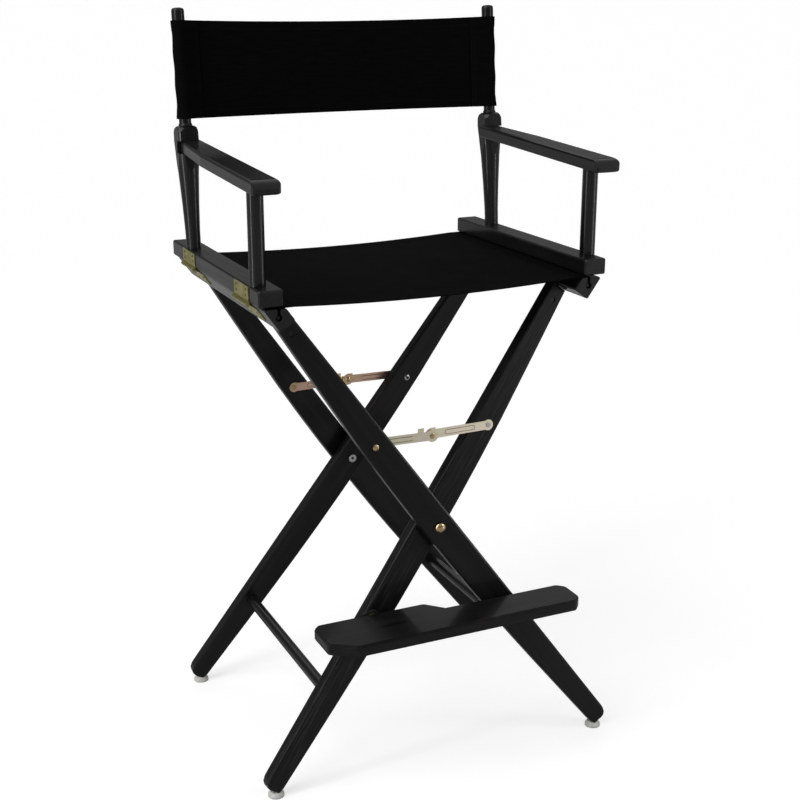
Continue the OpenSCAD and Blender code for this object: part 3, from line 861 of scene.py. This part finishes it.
# %% [markdown]
# ## Stitches
#
# Lock stitch is a row of short, slightly sunk dashes. Placing a thousand by hand would be hopeless,
# and a texture would look flat. A Geometry Nodes tree does it: it takes a seam line, spaces points
# along it, and stands one small bead of thread on each, turned to follow the line.

# %% Tree helpers
def aimed(tree, direction, axis="Z", pivot="AUTO", **more):
    """A rotation that turns an axis to a direction, about a pivot axis if one is given."""
    return add(tree, "FunctionNodeAlignRotationToVector", dict(more, Vector=direction),
               axis=axis, pivot_axis=pivot).outputs[0]


def planted(tree, points, shape, finish, **turns):
    """A copy of a shape on every point, made real and given its finish."""
    copies = add(tree, "GeometryNodeInstanceOnPoints", dict(turns, Points=points, Instance=shape))
    real = add(tree, "GeometryNodeRealizeInstances", {"Geometry": copies.outputs[0]}).outputs[0]
    return add(tree, "GeometryNodeSetMaterial", {"Geometry": real, "Material": finish}).outputs[0]


def read(tree, name):
    """A direction that each starting point carries."""
    return add(tree, "GeometryNodeInputNamedAttribute", {"Name": name},
               data_type="FLOAT_VECTOR").outputs[0]


# %% Stitch tree
stitch, s_in, s_out = new_group(
    "GeometryNodeTree", "stitch row",
    {"Geometry": (SHAPE, None), "Pitch": (NUMBER, 0.0036), "Length": (NUMBER, 0.0027),
     "Thread": (NUMBER, 0.0006), "Finish": ("NodeSocketMaterial", None)},
    {"Geometry": SHAPE})
seam_line = add(stitch, "GeometryNodeMeshToCurve", {"Mesh": s_in["Geometry"]}).outputs[0]
spaced = add(stitch, "GeometryNodeCurveToPoints", {"Curve": seam_line, "Length": s_in["Pitch"]},
             mode="LENGTH")
bead_sides, bead_rings = 8, 5
bead_corners = bead_sides * (bead_rings - 1) + 2
bead = add(stitch, "GeometryNodeMeshUVSphere",
           {"Segments": bead_sides, "Rings": bead_rings, "Radius": 0.5}).outputs["Mesh"]
bead_size = add(stitch, "ShaderNodeCombineXYZ",
                {"X": s_in["Thread"], "Y": s_in["Thread"], "Z": s_in["Length"]}).outputs[0]
along_seam = aimed(stitch, spaced.outputs["Tangent"])
stood = planted(stitch, spaced.outputs["Points"], bead, s_in["Finish"], Rotation=along_seam,
                Scale=bead_size)
feed(stitch, s_out, {"Geometry": stood})
print("stitch inputs:", [s.name for s in stitch.interface.items_tree])


# %% Growing a piece from a tree
def grown(name, tree, places, edges=(), directions=None, **wanted):
    """A piece made by a Geometry Nodes tree from starting points, as a plain mesh.

    directions are the named directions that every point carries, and wanted the tree's inputs."""
    mesh = bpy.data.meshes.new(name)
    mesh.from_pydata([tuple(p) for p in places], edges, [])
    for label, direction in (directions or {}).items():
        for point in mesh.attributes.new(label, "FLOAT_VECTOR", "POINT").data:
            point.vector = direction
    thing = link(name, mesh)
    grower = thing.modifiers.new("grow", "NODES")
    grower.node_group = tree
    for item in tree.interface.items_tree:
        if item.item_type == "SOCKET" and item.in_out == "INPUT" and item.name in wanted:
            grower[item.identifier] = wanted[item.name]
    return frozen(thing)


def several_rows(lines):
    """Points and edges of several seam lines in one piece."""
    places, edges = [], []
    for line in lines:
        edges += [(k, k + 1) for k in range(len(places), len(places) + len(line) - 1)]
        places += line
    return places, edges


# %% Seat stitches
def seat_row(y, x_from, x_to):
    """A line of stitches across the seat, on its upper face."""
    xs = [x_from + (x_to - x_from) * k / 60 for k in range(61)]
    return [Vector((x, y, seat_height(x, y) + canvas / 2 + 0.00005)) for x in xs]


edge_gap, hem_gap = 0.004, hem - 0.003
seat_rows = [seat_row(y, -sag_from, sag_from)
             for gap in (edge_gap, hem_gap) for y in (seat_front + gap, seat_back - gap)]
seat_stitches = grown("seat_stitches", stitch, *several_rows(seat_rows), Finish=thread)
bunches(seat_stitches)
print("seat stitches:", len(seat_stitches.data.vertices) // bead_corners, "beads")


# %% Back stitches
def back_row(v, x_limit, face):
    """A line of stitches along a hem of the back. face is -1 for the front and 1 for the rear."""
    xs = [-x_limit + 2 * x_limit * k / 60 for k in range(61)]
    raised = face * 0.00085 - hem_swell(v) * 0.3
    return [on_back(x, back_depth(x, v) + raised, edge_height(x, v)) for x in xs]


def seam_row(side, gap, face):
    """An upright line of stitches on a pocket, gap out from its seam, on the front or rear layer."""
    path = pocket_path()
    share = gap / along_path(path, 1.0)[1]
    at = along_path(path, share if face > 0 else 1 - share)[0] + Vector((0, face * 0.00062))
    steps = [0.02 + 0.96 * k / 40 for k in range(41)]
    return [on_back(side * at.x, at.y, edge_height(past_seam * at.x, v)) for v in steps]


hem_rows = [back_row(v, seam.x - 0.004, face) for v in (0.085, 0.915) for face in (-1, 1)]
back_stitches = grown("back_stitches", stitch, *several_rows(hem_rows), Finish=thread)
bunches(back_stitches)
for side, hand in ((-1, "left"), (1, "right")):
    lines = [seam_row(side, gap, face) for gap in (0.0016, 0.0062) for face in (-1, 1)]
    piece = grown(f"pocket_stitches_{hand}", stitch, *several_rows(lines), Finish=thread)
    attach(piece, f"arm_{hand}")
print("back stitches:", len(back_stitches.data.vertices) // bead_corners, "beads")

# %% [markdown]
# ## Hinge screws
#
# Each hinge leaf is held by four small screws with crossed slots. They are the same shape in many
# places and directions, so a tree makes one head, cuts its cross with a Boolean, and puts a copy on
# every point. Each point carries the direction that its screw faces. The rear pivot bolt and one
# rear brace rivet are tubular, and a wider, flatter head in dark steel fills the middle of each: it
# is painted shade for the hollow of the tube.

# %% Screw tree
screw, c_in, c_out = new_group(
    "GeometryNodeTree", "cross slot screws",
    {"Geometry": (SHAPE, None), "Head": (NUMBER, 0.0046), "Height": (NUMBER, 0.0009),
     "Finish": ("NodeSocketMaterial", None)},
    {"Geometry": SHAPE})
head_radius = maths(screw, "MULTIPLY", c_in["Head"], 0.5)
head = add(screw, "GeometryNodeMeshCone",
           {"Vertices": 20, "Radius Top": maths(screw, "MULTIPLY", head_radius, 0.62),
            "Radius Bottom": head_radius, "Depth": c_in["Height"]}).outputs["Mesh"]
slot_width = maths(screw, "MULTIPLY", c_in["Head"], 0.13)
slot_length = maths(screw, "MULTIPLY", c_in["Head"], 0.62)
cuts = add(screw, "GeometryNodeJoinGeometry")
for turned in (False, True):
    long_side, short_side = ("Y", "X") if turned else ("X", "Y")
    bar_size = add(screw, "ShaderNodeCombineXYZ",
                   {long_side: slot_length, short_side: slot_width, "Z": c_in["Height"]}).outputs[0]
    bar = add(screw, "GeometryNodeMeshCube", {"Size": bar_size}).outputs["Mesh"]
    lift = add(screw, "ShaderNodeCombineXYZ", {"Z": maths(screw, "MULTIPLY", c_in["Height"], 0.8)})
    placed = add(screw, "GeometryNodeTransform", {"Geometry": bar, "Translation": lift.outputs[0]})
    screw.links.new(placed.outputs[0], cuts.inputs[0])
crossed = add(screw, "GeometryNodeMeshBoolean", {"Mesh 1": head, "Mesh 2": cuts.outputs[0]},
              operation="DIFFERENCE", solver="FLOAT").outputs["Mesh"]
outwards = aimed(screw, read(screw, "faces_to"))
heads = planted(screw, c_in["Geometry"], crossed, c_in["Finish"], Rotation=outwards)
feed(screw, c_out, {"Geometry": heads})
print("screw inputs:", [s.name for s in screw.interface.items_tree])


# %% Screws on the hinges
def screws(name, places, facing, body, finish, slot_name, **sizes):
    """Screws at places, all facing one way, on one body."""
    piece = grown(name, screw, places, directions={"faces_to": facing}, Finish=finish, **sizes)
    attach(piece, body)


half_hinge = 0.032                              # half a hinge's length along the rail
columns = (-0.021, 0.021)                       # along the rail, from a hinge's middle
upper_drops, lower_drops = (0.0050, 0.0135), (0.0105, 0.0190)
leaf_thick = 0.0015
leaf_fall = math.radians(54.2)                  # the slope of a lower leaf, from level
leaf_corner = Vector((0.27656, 0, 0.77293))     # the top of a lower leaf's outer face
for side, arm, letter in ((-1, "left", "a"), (1, "right", "b")):
    low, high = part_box(f"upper_hinges_{arm}")
    across = [y + c for y in (low.y + half_hinge, high.y - half_hinge) for c in columns]
    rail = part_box(f"arm_rail_{arm}")
    face_x = (rail[0].x if side < 0 else rail[1].x) + side * leaf_thick
    upper = [(face_x, y, high.z - drop) for y in across for drop in upper_drops]
    screws(f"upper_screws_{arm}", upper, (side, 0, 0), f"arm_{arm}", dark_brass, "hinge_brass",
           Head=0.0042, Height=0.0006)
    downwards = Vector((-side * math.cos(leaf_fall), 0, -math.sin(leaf_fall)))
    outwards = Vector((side * math.sin(leaf_fall), 0, -math.cos(leaf_fall)))
    corner = Vector((side * leaf_corner.x, 0, leaf_corner.z))
    lower = [corner + Vector((0, y, 0)) + downwards * drop for y in across for drop in lower_drops]
    screws(f"lower_screws_{letter}", lower, outwards, f"frame_{letter}", dark_brass, "hinge_brass",
           Head=0.0042, Height=0.0006)
print("hinge screws:", len(upper) + len(lower), "a side")

# %% Painted shade in the hollows of the tubular rivets
through, _, rivet = leg_axes("rear", "b")
facing_front = -through if through.y > 0 else through
bolt_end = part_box("pivot_bolt_rear")[0].y + 0.0008
# a flat dark disc in each tubular rivet is painted shade for the tube's hollow
painted_hollow_shades = {
    "pivots": Vector((crossing.x, bolt_end, crossing.z)), "frame_b": rivet + facing_front * 0.0132}
for body, place in painted_hollow_shades.items():
    screws(f"rivet_hollow_shade_{body}", [place], facing_front, body, dark_steel, "rivet_brass",
           Head=0.0052, Height=0.0004)
print("tubular rivets:", len(painted_hollow_shades))

# %% [markdown]
# ## Pressed rims of the folding straps
#
# The straps are stiffened by a long pressed rib with a raised rim. The rim is a loop of even section,
# so a tree draws it: a rounded rectangle for the path, a small circle swept along it. Its length,
# width and section are inputs, and one tree serves every strap on both faces.

# %% Rim tree
rim, r_in, r_out = new_group(
    "GeometryNodeTree", "pressed rims",
    {"Geometry": (SHAPE, None), "Length": (NUMBER, 0.046), "Width": (NUMBER, 0.0068),
     "Section": (NUMBER, 0.0009), "Finish": ("NodeSocketMaterial", None)},
    {"Geometry": SHAPE})
outline = add(rim, "GeometryNodeCurvePrimitiveQuadrilateral",
              {"Width": r_in["Length"], "Height": r_in["Width"]}).outputs[0]
nearly_half = maths(rim, "MULTIPLY", r_in["Width"], 0.49)
loop = add(rim, "GeometryNodeFilletCurve", {"Curve": outline, "Radius": nearly_half, "Count": 6},
           mode="POLY").outputs[0]
section = add(rim, "GeometryNodeCurvePrimitiveCircle",
              {"Resolution": 8, "Radius": maths(rim, "MULTIPLY", r_in["Section"], 0.5)}).outputs[0]
swept = add(rim, "GeometryNodeCurveToMesh", {"Curve": loop, "Profile Curve": section}).outputs[0]
swept = add(rim, "GeometryNodeSetShadeSmooth", {"Geometry": swept}).outputs[0]
upright = aimed(rim, read(rim, "faces_to"))
lengthwise = aimed(rim, read(rim, "runs_to"), "X", "Z", Rotation=upright)
rims = planted(rim, r_in["Geometry"], swept, r_in["Finish"], Rotation=lengthwise)
feed(rim, r_out, {"Geometry": rims})
print("rim inputs:", [s.name for s in rim.interface.items_tree])

# %% Rims on the straps
strap = 0.0012                                  # thickness of a strap
leg_face = 0.022 / 2 + 0.001                    # from a leg's middle to the near face of its strap
raised = 0.0001
rim_middles = {"a": 0.0475, "b": 0.0515}        # along the strap, from its rivet
rim_lengths = {"a": 0.046, "b": 0.054}
for end in ENDS:
    for side in SIDES:
        through, _, rivet = leg_axes(end, side)
        inwards = 1 if (end == "front") == (side == "a") else -1
        normal = through * inwards if through.y > 0 else -through * inwards
        run = through.cross(Vector((0, 0, 1))).normalized()
        if run.x * rivet.x > 0:
            run = -run
        middle = rivet + run * rim_middles[side]
        both_faces = [middle + normal * (leg_face - raised),
                      middle + normal * (leg_face + strap + raised)]
        # the rims take the darker rim finish: painted shade for the outline of the rib
        piece = grown(f"strap_rims_{end}_{side}", rim, both_faces,
                      directions={"faces_to": normal, "runs_to": run},
                      Finish=rim_painted_shade, Length=rim_lengths[side])
        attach(piece, f"brace_arm_{end}_{side}")
print("rims on", len(ENDS) * len(SIDES), "straps")

# %% [markdown]
# ## Last checks
#
# The visual chair has to stay the size of the CAD chair.

# %% Sizes and finish
low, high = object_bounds()
growth = list(cad_low - low) + list(high - cad_high)
print("past the CAD box, in mm:", [round(1000 * v, 2) for v in growth])
